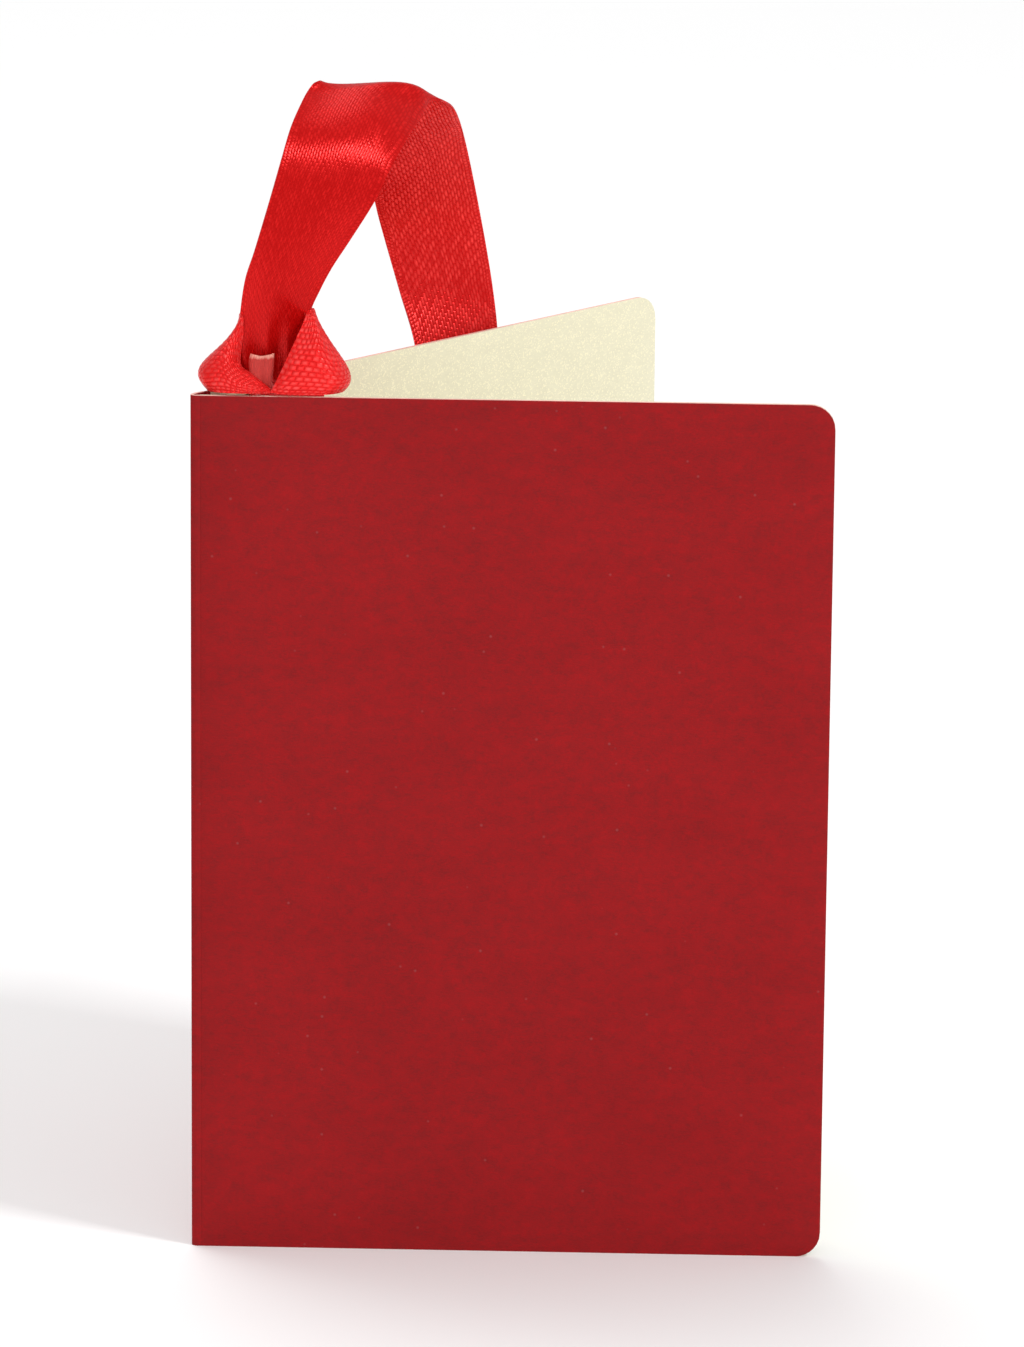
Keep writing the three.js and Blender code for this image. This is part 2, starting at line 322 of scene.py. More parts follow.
def paper_material(name, tone, fibre, cloud_share, grain_share, roughness, bump, fleck=0.0):
    """A fibrous sheet: grain and clouding shift the colour, and grain breaks up the sheen."""
    material, tree, shader = new_material(name, roughness, 0.12)
    weave = place_group(tree, fibre, Position=object_position(tree))
    dark = tuple(c * (1 - grain_share) + 0.004 for c in tone)
    light = tuple(c * (1 + grain_share) for c in tone)
    pale = tuple(c + (0.8 - c) * 0.25 for c in tone)
    grained = mix_colour(tree, weave["Grain"], rgba(dark), rgba(light))
    cloud = remap(tree, weave["Cloud"], 0, 1, 1 - cloud_share, 1 + cloud_share)
    clouded = mix_colour(tree, 1.0, grained, cloud, "MULTIPLY")
    speck = math_node(tree, "MULTIPLY", weave["Fleck"], fleck)
    feed(tree, mix_colour(tree, speck, clouded, rgba(pale)), shader["Base Color"])
    sheen = remap(tree, weave["Grain"], 0, 1, roughness - 0.08, roughness + 0.06)
    feed(tree, sheen, shader["Roughness"])
    add_bump(tree, shader, weave["Height"], bump, 0.05 * MM)
    return material


def pearl_material(name, tone, fibre, flakes):
    """Ivory paper with soft grain and scattered brighter, warmer, slightly metallic flakes."""
    material, tree, shader = new_material(name, 0.42, 0.5)
    position = object_position(tree)
    grain = place_group(tree, fibre, Position=position, Fibre_scale=900.0)
    pearl = place_group(tree, flakes, Position=position)
    soft = mix_colour(tree, grain["Grain"], rgba(tone, 0.965), rgba(tone, 1.03))
    warm = (min(1, tone[0] * 1.2), tone[1] * 1.19, tone[2] * 1.18, 1.0)
    speckled = mix_colour(tree, math_node(tree, "MULTIPLY", pearl["Flake"], 0.8), soft, warm)
    feed(tree, speckled, shader["Base Color"])
    feed(tree, remap(tree, pearl["Tilt"], 0, 1, 0.32, 0.58), shader["Roughness"])
    feed(tree, remap(tree, pearl["Flake"], 0, 1, 0.0, 0.35), shader["Metallic"])
    add_bump(tree, shader, grain["Height"], 0.25, 0.04 * MM)
    return material


def satin_material(name, dark, light, weave, thread, float_length, contrast, bump, frayed_from=None):
    """Woven satin on the band's own map: lit crowns, darker valleys, float-to-float variation."""
    material, tree, shader = new_material(name, 0.3, 0.13)
    shader["Metallic"].default_value = 0.28
    band = add_node(tree, "ShaderNodeUVMap", uv_map="Band").outputs["UV"]
    satin = place_group(tree, weave, Map=band, Thread=thread, Float=float_length)
    add, multiply = arithmetic(tree, "ADD", "MULTIPLY")
    lit = multiply(satin["Crown"], remap(tree, satin["Shade"], 0, 1, 0.25, 1.0))
    base = mix_colour(tree, multiply(lit, contrast), rgba(dark), rgba(light))
    # Towards the cut end the colour turns to the pale rim tone, for frayed threads and partly painted light.
    if frayed_from is not None:
        split = add_node(tree, "ShaderNodeSeparateXYZ", {0: band})
        ragged = add(split.outputs[1], multiply(noise(tree, band, 900.0), FRAY_DEPTH))
        frayed = remap(tree, ragged, frayed_from, frayed_from + FRAY_BLUR, 0, 1)
        base = mix_colour(tree, frayed, base, rgba(FRAYED_LIT_THREAD))
    feed(tree, base, shader["Base Color"])
    feed(tree, remap(tree, satin["Shade"], 0, 1, 0.20, 0.30), shader["Roughness"])
    add_bump(tree, shader, satin["Height"], bump, 0.12 * MM)
    return material


def glue_material(tone):
    material, tree, shader = new_material("Dried glue", 0.45, 0.5)
    lumps = noise(tree, object_position(tree), 380.0, 3.0)
    feed(tree, mix_colour(tree, lumps, rgba(tone, 0.85), rgba(tone, 1.0)), shader["Base Color"])
    feed(tree, remap(tree, lumps, 0.3, 0.7, 0.35, 0.6), shader["Roughness"])
    add_bump(tree, shader, lumps, 0.5, 0.1 * MM)
    return material


MATERIALS = {}


def make_materials(sizes, tones):
    fibre = fibre_group()
    weave = satin_group()
    thread, float_length = sizes.thread, sizes.float_length
    MATERIALS["card"] = paper_material("Red card", tones.card, fibre, cloud_share=0.05, grain_share=0.20,
                                       roughness=0.85, bump=0.6, fleck=0.16)
    MATERIALS["core"] = paper_material("Card core", tones.card_core, fibre, cloud_share=0.05,
                                       grain_share=0.15, roughness=0.9, bump=0.6)
    MATERIALS["paper"] = paper_material("Leaf paper", tones.paper, fibre, cloud_share=0.01,
                                        grain_share=0.03, roughness=0.8, bump=0.3)
    MATERIALS["ivory"] = pearl_material("Pearl ivory", tones.ivory, fibre, sparkle_group())
    MATERIALS["satin"] = satin_material("Satin face", tones.ribbon, tones.ribbon_light, weave, thread,
                                        float_length, contrast=0.8, bump=0.17)
    MATERIALS["satin_inside"] = satin_material("Satin inside", *SATIN_INSIDE, weave, thread * 1.3,
                                               float_length * 1.3, contrast=1.0, bump=0.4)
    # Reverse-side satin for the knot, in tones made brighter than the face as painted light.
    MATERIALS["satin_back"] = satin_material("Satin reverse painted lit", tones.ribbon_reverse_painted_lit, REVERSE_PAINTED_LIGHT, weave,
                                             thread * 2.5, float_length * 0.7, contrast=1.0, bump=0.8)
    MATERIALS["ribbon_end"] = satin_material("Cut ribbon end", tones.ribbon_end,
                                             rgba(tones.ribbon_end, 1.7)[:3], weave, thread, float_length,
                                             contrast=0.6, bump=0.4, frayed_from=FRAYED_FROM)
    MATERIALS["glue"] = glue_material(GLUE_TONE)


# ---------------------------------------------------------------- geometry node trees

def sheet_tree():
    """A standing sheet with round fore-edge corners, as a grid: start to end along X, up Z, bowed along Y."""
    tree, given, out = new_group(
        "Notebook sheet",
        {"Start": 0.0, "End": COVER_WIDTH, "Bottom": 0.0, "Top": HEIGHT, "Corner radius": 3 * MM,
         "Bow": 0.0, "Offset": 0.0, "Columns": 14, "Rows": 65, "Material": MATERIAL},
        ("Geometry",), "GeometryNodeTree", GEOMETRY)
    add, subtract, multiply = arithmetic(tree, "ADD", "SUBTRACT", "MULTIPLY")
    counts = {"Vertices X": given["Columns"], "Vertices Y": given["Rows"]}
    grid = add_node(tree, "GeometryNodeMeshGrid", {"Size X": 1.0, "Size Y": 1.0, **counts})
    place = add_node(tree, "GeometryNodeInputPosition")
    split = add_node(tree, "ShaderNodeSeparateXYZ", {0: place.outputs[0]})
    radius = given["Corner radius"]
    across = add(split.outputs["X"], 0.5)
    half = multiply(subtract(given["Top"], given["Bottom"]), 0.5)
    middle = add(given["Bottom"], half)
    up = multiply(half, math_node(tree, "SINE", multiply(split.outputs["Y"], math.pi)))
    straight = subtract(half, radius)
    into_corner = math_node(tree, "MAXIMUM", subtract(math_node(tree, "ABSOLUTE", up), straight), 0.0)
    squares = [math_node(tree, "POWER", side, 2.0) for side in (radius, into_corner)]
    chord = math_node(tree, "SQRT", math_node(tree, "MAXIMUM", subtract(*squares), 0.0))
    reach = add(subtract(given["End"], radius), chord)
    x = add(given["Start"], multiply(across, subtract(reach, given["Start"])))
    bow = multiply(given["Bow"], math_node(tree, "SINE", multiply(across, math.pi)))
    join = add_node(tree, "ShaderNodeCombineXYZ", {"X": x, "Y": add(given["Offset"], bow),
                                                   "Z": add(middle, up)})
    move = add_node(tree, "GeometryNodeSetPosition", {"Geometry": grid.outputs["Mesh"],
                                                      "Position": join.outputs[0]})
    end_tree(tree, move.outputs["Geometry"], given["Material"], out["Geometry"])
    return tree


def relief_tree():
    """Raises a band along its normals: bumps in a staggered grid, and a rounded rib along both selvages."""
    tree, given, out = new_group(
        "Band relief",
        {"Geometry": GEOMETRY, "Spacing across": 0.56 * MM, "Spacing along": 0.75 * MM,
         "Bump height": 0.05 * MM, "Selvage height": 0.05 * MM, "Band width": 12 * MM,
         "Material": MATERIAL}, ("Geometry",), "GeometryNodeTree", GEOMETRY)
    add, subtract, multiply, divide = arithmetic(tree, "ADD", "SUBTRACT", "MULTIPLY", "DIVIDE")
    band = add_node(tree, "GeometryNodeInputNamedAttribute", {"Name": "Band"}, data_type="FLOAT_VECTOR")
    split = add_node(tree, "ShaderNodeSeparateXYZ", {0: band.outputs["Attribute"]})
    across = divide(split.outputs["X"], given["Spacing across"])
    along = divide(split.outputs["Y"], given["Spacing along"])
    waves = [math_node(tree, "COSINE", multiply(combine(across, along), math.pi))
             for combine in (add, subtract)]
    bumps = multiply(multiply(*waves), given["Bump height"])
    share = divide(split.outputs["X"], given["Band width"])
    from_middle = math_node(tree, "ABSOLUTE", subtract(share, 0.5))
    selvage = remap(tree, from_middle, 0.44, 0.48, 0.0, 1.0)
    height = add(bumps, multiply(selvage, given["Selvage height"]))
    facing = add_node(tree, "GeometryNodeInputNormal")
    lift = {0: facing.outputs[0], "Scale": height}
    offset = add_node(tree, "ShaderNodeVectorMath", lift, operation="SCALE")
    move = add_node(tree, "GeometryNodeSetPosition", {"Geometry": given["Geometry"],
                                                      "Offset": offset.outputs[0]})
    end_tree(tree, move.outputs["Geometry"], given["Material"], out["Geometry"])
    return tree


def end_tree(tree, geometry, material, output):
    """Every tree ends in Realize Instances and Set Material."""
    realize = add_node(tree, "GeometryNodeRealizeInstances", {"Geometry": geometry})
    paint = add_node(tree, "GeometryNodeSetMaterial", {"Geometry": realize.outputs["Geometry"],
                                                       "Material": material})
    feed(tree, paint.outputs["Geometry"], output)


TREES = {}


def tree_named(name):
    if name not in TREES:
        TREES[name] = {"sheet": sheet_tree, "relief": relief_tree}[name]()
    return TREES[name]


def add_tree(obj, tree, **values):
    """Adds a Geometry Nodes modifier and sets its inputs by their sockets' identifiers."""
    modifier = obj.modifiers.new(tree.name, "NODES")
    modifier.node_group = tree
    identifiers = {item.name: item.identifier for item in tree.interface.items_tree
                   if item.item_type == "SOCKET" and item.in_out == "INPUT"}
    for name, value in values.items():
        modifier[identifiers[name.replace("_", " ").capitalize()]] = value
    return modifier


def plain_mesh(obj, name):
    """The evaluated result of an object's modifiers as a new plain object; the old one is removed."""
    bpy.context.view_layer.update()
    evaluated = obj.evaluated_get(bpy.context.evaluated_depsgraph_get())
    mesh = bpy.data.meshes.new_from_object(evaluated)
    bpy.data.objects.remove(obj)
    mesh.name = name
    return new_object(name, mesh)


def solidify(obj, thickness, offset, even=True):
    modifier = obj.modifiers.new("Thickness", "SOLIDIFY")
    modifier.thickness = thickness
    modifier.offset = offset
    modifier.use_even_offset = even
    modifier.use_rim = True
    return modifier


def round_edges(obj, width):
    modifier = obj.modifiers.new("Rounded edges", "BEVEL")
    modifier.width = width
    modifier.segments = 2
    modifier.limit_method = "ANGLE"
    modifier.angle_limit = math.radians(40)


def new_object(name, data):
    obj = bpy.data.objects.new(name, data)
    bpy.context.collection.objects.link(obj)
    return obj


def smooth(obj, angle=35):
    """Smooth shading with sharp edges where faces meet at more than the angle."""
    mesh = obj.data
    mesh.polygons.foreach_set("use_smooth", [True] * len(mesh.polygons))
    mesh.set_sharp_from_angle(angle=math.radians(angle))


def face_out(obj):
    """Makes a closed mesh's faces point outwards."""
    bm = bmesh.new()
    bm.from_mesh(obj.data)
    bmesh.ops.remove_doubles(bm, verts=bm.verts, dist=1e-7)
    bmesh.ops.recalc_face_normals(bm, faces=bm.faces)
    bm.to_mesh(obj.data)
    bm.free()


# ---------------------------------------------------------------- sheets of the notebook

def sheet_piece(name, start, end, bottom, top, radius, low, high, bow, materials, place, edge_width=0.04 * MM,
                mitre=0.0):
    """A closed sheet between local y = low and high, with its cut edges in the second material."""
    obj = new_object(name, bpy.data.meshes.new(name))
    add_tree(obj, tree_named("sheet"), Start=start, End=end, Bottom=bottom, Top=top, Corner_radius=radius,
             Bow=bow, Offset=low, Material=materials[0])
    obj = plain_mesh(obj, name)
    solid = solidify(obj, high - low, 1.0)
    facing = obj.data.polygons[0].normal.y
    solid.offset = 1.0 if facing > 0 else -1.0
    obj = plain_mesh(obj, name)
    at_start = start + 0.01 * MM
    for vertex in obj.data.vertices:
        if mitre and vertex.co.x < at_start:
            vertex.co.x += mitre * abs(vertex.co.y) / (high - low)
    round_edges(obj, edge_width)
    obj = plain_mesh(obj, name)
    face_out(obj)
    mesh = obj.data
    mesh.materials.clear()
    for material in materials:
        mesh.materials.append(material)
    if len(materials) > 1:
        crease_end = start + mitre + 0.08 * MM
        for polygon in mesh.polygons:
            at_crease = polygon.center.x < crease_end and abs(polygon.normal.z) < 0.5
            polygon.material_index = 1 if abs(polygon.normal.y) < 0.8 and not at_crease else 0
    smooth(obj)
    mesh.transform(place)
    return obj


def front_place():
    return Matrix.Translation(FRONT_CREASE)


def back_place():
    return Matrix.Translation(BACK_CREASE) @ Matrix.Rotation(OPEN_ANGLE, 4, "Z")


def card_fold(name, outline, thickness, materials, mitre=0.0):
    """A curved strip of card from its outer face's outline, as tall as the cover; one end may be mitred."""
    path = smooth_path([Vector((x * MM, y * MM, 0)) for x, y in outline], 24)
    tangents = np.gradient(path, axis=0)
    tangents /= np.linalg.norm(tangents, axis=1)[:, None]
    inward = np.stack([tangents[:, 1], -tangents[:, 0], np.zeros(len(path))], axis=1)
    inner = path + inward * thickness
    travelled = np.concatenate([[0], np.cumsum(np.linalg.norm(np.diff(path, axis=0), axis=1))])
    last = int(np.searchsorted(travelled, travelled[-1] - mitre))
    inner[last:] = inner[last]
    verts = []
    for z in (0.0, HEIGHT):
        verts += [(p[0], p[1], z) for p in path] + [(p[0], p[1], z) for p in inner]
    count = len(path)
    faces = []
    for i in range(count - 1):
        a, b, c, d = i, i + 1, count + i, count + i + 1
        top = 2 * count
        faces += [(a, b, b + top, a + top), (c + top, d + top, d, c), (a, c, d, b),
                  (a + top, b + top, d + top, c + top)]
    faces += [(0, 2 * count, 3 * count, count),
              (count - 1, 2 * count - 1, 4 * count - 1, 3 * count - 1)]
    mesh = bpy.data.meshes.new(name)
    mesh.from_pydata(verts, [], faces)
    mesh.transform(Matrix.Translation(FRONT_CREASE))
    obj = new_object(name, mesh)
    face_out(obj)
    for material in materials:
        mesh.materials.append(material)
    for polygon in mesh.polygons:
        polygon.material_index = 1 if abs(polygon.normal.z) > 0.8 else 0
    smooth(obj, 60)
    return obj


def cut_hole(obj, sizes):
    """Punches the ribbon hole through a back sheet."""
    centre = back_place() @ Vector((sizes.hole_from_crease, 0, HEIGHT - sizes.hole_from_top))
    bm = bmesh.new()
    radius = sizes.hole_radius
    bmesh.ops.create_cone(bm, cap_ends=True, segments=48, radius1=radius, radius2=radius, depth=6 * MM)
    punch = bpy.data.meshes.new("Punch")
    bm.to_mesh(punch)
    bm.free()
    punch.transform(Matrix.Translation(centre) @ Matrix.Rotation(OPEN_ANGLE, 4, "Z")
                    @ Matrix.Rotation(math.pi / 2, 4, "X"))
    cutter = new_object("Punch", punch)
    modifier = obj.modifiers.new("Hole", "BOOLEAN")
    modifier.operation = "DIFFERENCE"
    modifier.solver = "EXACT"
    modifier.object = cutter
    piece = plain_mesh(obj, obj.name)
    bpy.data.objects.remove(cutter)
    smooth(piece)
    return piece


# ---------------------------------------------------------------- ribbon

def smooth_path(points, steps):
    """A Catmull-Rom curve through the points, with the same number of steps between each two."""
    points = [np.array(p, float) for p in points]
    ends = [2 * points[0] - points[1]] + points + [2 * points[-1] - points[-2]]
    samples = []
    for i in range(1, len(ends) - 2):
        p0, p1, p2, p3 = ends[i - 1:i + 3]
        for k in range(steps):
            t = k / steps
            samples.append(0.5 * (2 * p1 + (p2 - p0) * t + (2 * p0 - 5 * p1 + 4 * p2 - p3) * t * t
                                  + (3 * p1 - p0 - 3 * p2 + p3) * t ** 3))
    samples.append(points[-1])
    return np.array(samples)


def even_rows(curves, spacing):
    """Samples several curves of equal length at the same stations, evenly spaced along their mean."""
    mean = sum(curves) / len(curves)
    travelled = np.concatenate([[0], np.cumsum(np.linalg.norm(np.diff(mean, axis=0), axis=1))])
    count = max(3, int(round(travelled[-1] / spacing)) + 1)
    wanted = np.linspace(0, travelled[-1], count)
    sampled = [np.stack([np.interp(wanted, travelled, curve[:, axis]) for axis in range(3)], axis=1)
               for curve in curves]
    return sampled, wanted


def band_grid(stations, row_spacing, columns):
    """Points of a band through stations of four points each, evenly spaced across; a cubic joins them."""
    edges = [smooth_path([station[k] for station in stations], 30) for k in range(4)]
    edges, travelled = even_rows(edges, row_spacing)
    across = np.linspace(0, 1, columns)
    t = across * 3
    weights = (-(t - 1) * (t - 2) * (t - 3) / 6, t * (t - 2) * (t - 3) / 2, -t * (t - 1) * (t - 3) / 2,
               t * (t - 1) * (t - 2) / 6)
    grid = sum(edge[:, None] * weight[None, :, None] for edge, weight in zip(edges, weights))
    return grid, across, travelled


def pleat(grid, across, amount, count):
    """Gathers a band: waves across it, as deep as the amount given for each row."""
    along = np.gradient(grid, axis=0)
    side = np.gradient(grid, axis=1)
    normal = np.cross(side, along)
    normal /= np.linalg.norm(normal, axis=2)[:, :, None] + 1e-12
    wave = np.sin(across * count * 2 * math.pi)
    return grid + normal * (np.asarray(amount)[:, None] * wave[None, :])[:, :, None]


def band_object(name, grid, across, travelled, width):
    """A mesh from a grid of points in millimetres from the front crease, with its map named Band."""
    rows, columns = grid.shape[:2]
    verts = grid.reshape(-1, 3) * MM + np.array(FRONT_CREASE)
    index = np.arange(rows * columns).reshape(rows, columns)
    faces = np.stack([index[:-1, :-1], index[:-1, 1:], index[1:, 1:], index[1:, :-1]], axis=2).reshape(-1, 4)
    mesh = bpy.data.meshes.new(name)
    mesh.from_pydata(verts.tolist(), [], faces.tolist())
    layer = mesh.uv_layers.new(name="Band")
    corner_vertex = np.empty(len(mesh.loops), int)
    mesh.loops.foreach_get("vertex_index", corner_vertex)
    u = (across * width)[corner_vertex % columns]
    v = (travelled * MM)[corner_vertex // columns]
    layer.data.foreach_set("uv", np.stack([u, v], axis=1).reshape(-1))
    return new_object(name, mesh)


def finish_band(obj, name, sizes, bump, selvage, material, inside=None, spacing=(0.56, 0.75)):
    """Relief, then thickness, then a plain mesh; the band's inside may have its own material."""
    add_tree(obj, tree_named("relief"), Bump_height=bump, Selvage_height=selvage, Material=material,
             Spacing_across=spacing[0] * MM, Spacing_along=spacing[1] * MM, Band_width=sizes.ribbon_width)
    obj = plain_mesh(obj, name)
    mesh = obj.data
    mesh.materials.clear()
    mesh.materials.append(material)
    mesh.materials.append(inside or material)
    thickness = solidify(obj, sizes.ribbon, 0.0, even=False)
    thickness.material_offset = 1
    obj = plain_mesh(obj, name)
    smooth(obj, 70)
    return obj


def joined(name, *pieces):
    """One object from several, keeping their materials and maps."""
    bm = bmesh.new()
    materials = []
    for piece in pieces:
        first = len(bm.faces)
        bm.from_mesh(piece.data)
        bm.faces.ensure_lookup_table()
        for face in bm.faces[first:]:
            face.material_index += len(materials)
        materials += list(piece.data.materials)
        bpy.data.objects.remove(piece)
    mesh = bpy.data.meshes.new(name)
    bm.to_mesh(mesh)
    bm.free()
    for material in materials:
        mesh.materials.append(material)
    return new_object(name, mesh)


def along_back(along, outwards, z):
    """A point in millimetres given along the back cover, outwards from its outer face, and up."""
    c, s = math.cos(OPEN_ANGLE), math.sin(OPEN_ANGLE)
    crease = (BACK_CREASE - FRONT_CREASE) / MM
    return (crease.x + along * c - outwards * s, crease.y + along * s + outwards * c, z)


def bulged(left, right, bulge=(0, 0, 0), second=None):
    """A station of a band: its two edges, with the two points between them moved by the bulges."""
    third = tuple(a + (b - a) / 3 + c for a, b, c in zip(left, right, bulge))
    two_thirds = tuple(a + (b - a) * 2 / 3 + c for a, b, c in zip(left, right, second or bulge))
    return (left, third, two_thirds, right)


def loop_stations():
    """The ribbon from the knot up, over the top fold, down behind the back cover and towards the hole."""
    front = [
        bulged((6.2, 4.8, 105.6), (12.6, 6.2, 105.6), (0, -0.3, 0)),
        bulged((5.3, 4.7, 109.6), (13.2, 7.0, 109.6), (0, -0.5, 0)),
        bulged((5.5, 4.7, 113.2), (13.6, 7.8, 113.4), (0, -0.7, 0)),
        bulged((6.1, 5.0, 117.7), (14.5, 8.6, 115.6), (0, -0.7, 0)),
        bulged((7.2, 5.6, 121.2), (16.0, 9.6, 118.4), (0, -0.6, 0)),
        bulged((8.7, 7.2, 126.3), (18.2, 10.6, 121.7), (0, -0.5, 0)),
        bulged((10.1, 9.5, 131.3), (20.9, 12.0, 125.9), (0, -0.5, 0.1)),
        bulged((11.0, 12.5, 134.4), (22.6, 14.0, 129.3), (0, -0.5, 0.3), (0, -0.6, 0.5)),
        bulged((12.0, 16.3, 136.5), (24.3, 17.6, 132.0), (0, -0.4, 0.4), (0, -0.4, 1.1)),
        bulged((12.8, 19.2, 137.7), (26.0, 22.8, 134.0), (0, -0.2, 0.6), (0.4, 0.1, 1.6)),
    ]
    fold = [
        bulged((13.6, 20.2, 138.4), (26.6, 25.4, 135.0), (0, 0, 0.3), (1.0, 0, 1.5)),
        bulged((14.4, 21.6, 137.8), (27.5, 26.8, 134.9), (0.2, 0.2, 0.6), (0.9, 0.2, 1.2)),
        bulged((15.5, 22.8, 135.3), (28.6, 28.2, 134.5), (0.2, 0.3, 0.5), (0.5, 0.3, 0.7)),
    ]
    rear = [
        bulged((17.2, 26.2, 130.7), (29.8, 31.2, 132.7), (0, 0.3, 0.1)),
        bulged((19.2, 31.8, 125.0), (30.8, 35.8, 128.0), (0, 0.2, 0)),
        bulged((20.4, 36.5, 118.3), (32.2, 40.7, 119.5), (0, -0.2, 0)),
        bulged((22.8, 36.2, 110.0), (33.7, 41.8, 110.7), (0, -0.4, 0)),
        bulged((24.9, 34.0, 103.5), (34.6, 40.3, 104.3), (0, -0.3, 0)),
        bulged(along_back(38.0, 2.8, 97), along_back(49.8, 1.9, 103)),
        bulged(along_back(37.7, 2.4, 91), along_back(49.4, 1.8, 101.8)),
    ]
    turn = [
        bulged(along_back(37.3, 1.8, 89.5), along_back(49.2, 1.4, 101.3)),
        bulged(along_back(36.4, 1.2, 89.1), along_back(48.0, 0.9, 101.1)),
        bulged(along_back(33.0, 0.8, 89.0), along_back(42.0, 0.7, 101.0)),
        bulged(along_back(28.0, 0.6, 89.2), along_back(31.0, 0.6, 100.8)),
        bulged(along_back(23.0, 0.6, 90.2), along_back(23.4, 0.6, 99.8)),
        bulged(along_back(18.5, 1.0, 92.2), along_back(18.5, 1.0, 97.8)),
        bulged(along_back(15.8, 1.1, 92.9), along_back(15.8, 1.1, 97.1)),
        bulged(along_back(13.4, 0.6, 92.9), along_back(13.4, 0.6, 97.1)),
        bulged(along_back(12.3, -0.6, 93.1), along_back(12.3, -0.6, 96.9)),
    ]
    return front + fold + rear + turn


def collar_stations():
    """The knot's collar round the stem, from the straight right selvage round to the notch again."""
    return [
        ((13.7, 2.6, 114.8), (12.3, 1.5, 111.6), (10.9, 1.0, 108.4), (9.4, 0.5, 105.35)),
        ((13.8, 2.8, 114.9), (13.2, 1.3, 111.5), (11.9, 0.4, 108.3), (10.6, 0.2, 105.3)),
        ((14.0, 3.2, 114.9), (14.7, 1.3, 111.5), (14.6, 0.3, 108.2), (13.4, 0.15, 105.3)),
        ((14.1, 3.9, 114.7), (15.8, 2.2, 110.7), (17.1, 1.1, 107.5), (16.3, 0.8, 105.3)),
        ((14.1, 4.9, 114.2), (16.4, 4.2, 110.3), (18.3, 3.7, 107.3), (17.8, 3.0, 105.3)),
        ((13.2, 7.0, 113.6), (15.4, 7.2, 109.8), (17.1, 7.7, 107.0), (16.6, 7.4, 105.3)),
        ((10.6, 9.0, 113.4), (11.6, 9.9, 109.9), (12.4, 10.7, 107.0), (11.8, 10.2, 105.3)),
        ((7.6, 8.4, 113.2), (6.9, 9.3, 109.7), (6.1, 10.1, 107.0), (6.2, 9.6, 105.3)),
        ((5.7, 6.6, 113.3), (4.1, 6.8, 109.9), (2.0, 7.0, 107.3), (2.6, 6.2, 105.3)),
        ((5.7, 4.7, 113.8), (3.6, 4.4, 110.2), (1.1, 4.0, 107.7), (1.9, 3.4, 105.3)),
        ((5.9, 3.9, 114.0), (4.0, 2.8, 110.7), (1.8, 1.9, 107.9), (2.4, 1.3, 105.3)),
        ((5.9, 3.6, 111.6), (4.5, 1.9, 110.2), (3.6, 0.9, 108.2), (4.2, 0.3, 105.3)),
        ((5.6, 3.0, 108.2), (5.2, 1.6, 108.2), (5.2, 0.6, 107.1), (6.2, 0.15, 105.3)),
        ((7.0, 1.8, 107.2), (7.0, 1.1, 107.0), (7.3, 0.6, 106.3), (8.0, 0.2, 105.3)),
        ((9.2, 1.1, 105.7), (9.25, 0.9, 105.6), (9.3, 0.7, 105.5), (9.35, 0.5, 105.35)),
    ]


# ---------------------------------------------------------------- operators

class NOTEBOOK_OT_materials(bpy.types.Operator):
    """Makes the card, paper, satin and glue materials"""
    bl_idname = "notebook.materials"
    bl_label = "Make Materials"
    bl_options = {"REGISTER", "UNDO"}

    def execute(self, context):
        make_materials(context.scene.notebook_sizes, context.scene.notebook_colours)
        return {"FINISHED"}


class NOTEBOOK_OT_cover(bpy.types.Operator):
    """Makes the folded card cover: front card, fold, spine and punched back card"""
    bl_idname = "notebook.cover"
    bl_label = "Make Cover"
    bl_options = {"REGISTER", "UNDO"}

    def execute(self, context):
        sizes = context.scene.notebook_sizes
        card = [MATERIALS["card"], MATERIALS["core"]]
        front = sheet_piece("front_card", FOLD_END * MM, COVER_WIDTH, 0, HEIGHT, sizes.corner_radius, 0,
                            sizes.card, sizes.card_bow, card, front_place())
        back = sheet_piece("back_card", CREASE_GAP, COVER_WIDTH, 0, HEIGHT, sizes.corner_radius,
                           -sizes.card, 0, 0, card, back_place(), mitre=SPINE_MITRE)
        back = cut_hole(back, sizes)
        crease = (BACK_CREASE - FRONT_CREASE) / MM
        fold = card_fold("front_fold", FOLD_OUTLINE, sizes.card, card)
        outline = SPINE_OUTLINE + [(crease.x, crease.y)]
        spine = card_fold("spine_strip", outline, sizes.card, card, SPINE_MITRE)
        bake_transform(fold)
        for piece, body, node in ((front, "front_cover", "front_cover"), (back, "back_cover", "back_cover"),
                                  (spine, "spine", "spine_card")):
            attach(piece, body)
            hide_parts(node)
        return {"FINISHED"}


class NOTEBOOK_OT_linings(bpy.types.Operator):
    """Makes the pearly ivory sheets pasted inside both covers"""
    bl_idname = "notebook.linings"
    bl_label = "Make Linings"
    bl_options = {"REGISTER", "UNDO"}

    def execute(self, context):
        sizes = context.scene.notebook_sizes
        ivory = [MATERIALS["ivory"]]
        gap = 0.01 * MM
        front_start, back_start = 1.15 * MM, 0.65 * MM
        low, high = sizes.card + gap, sizes.card + gap + sizes.lining
        edge_width = 0.02 * MM
        front = sheet_piece("front_inner_sheet", front_start, COVER_WIDTH, 0, HEIGHT, sizes.corner_radius,
                            low, high, 0, ivory, front_place(), edge_width)
        back = sheet_piece("back_inner_sheet", back_start, COVER_WIDTH, 0, HEIGHT, sizes.corner_radius,
                           -high, -low, 0, ivory, back_place(), edge_width)
        back = cut_hole(back, sizes)
        for piece, body, node in ((front, "front_cover", "front_lining"),
                                  (back, "back_cover", "back_lining")):
            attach(piece, body)
            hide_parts(node)
        return {"FINISHED"}


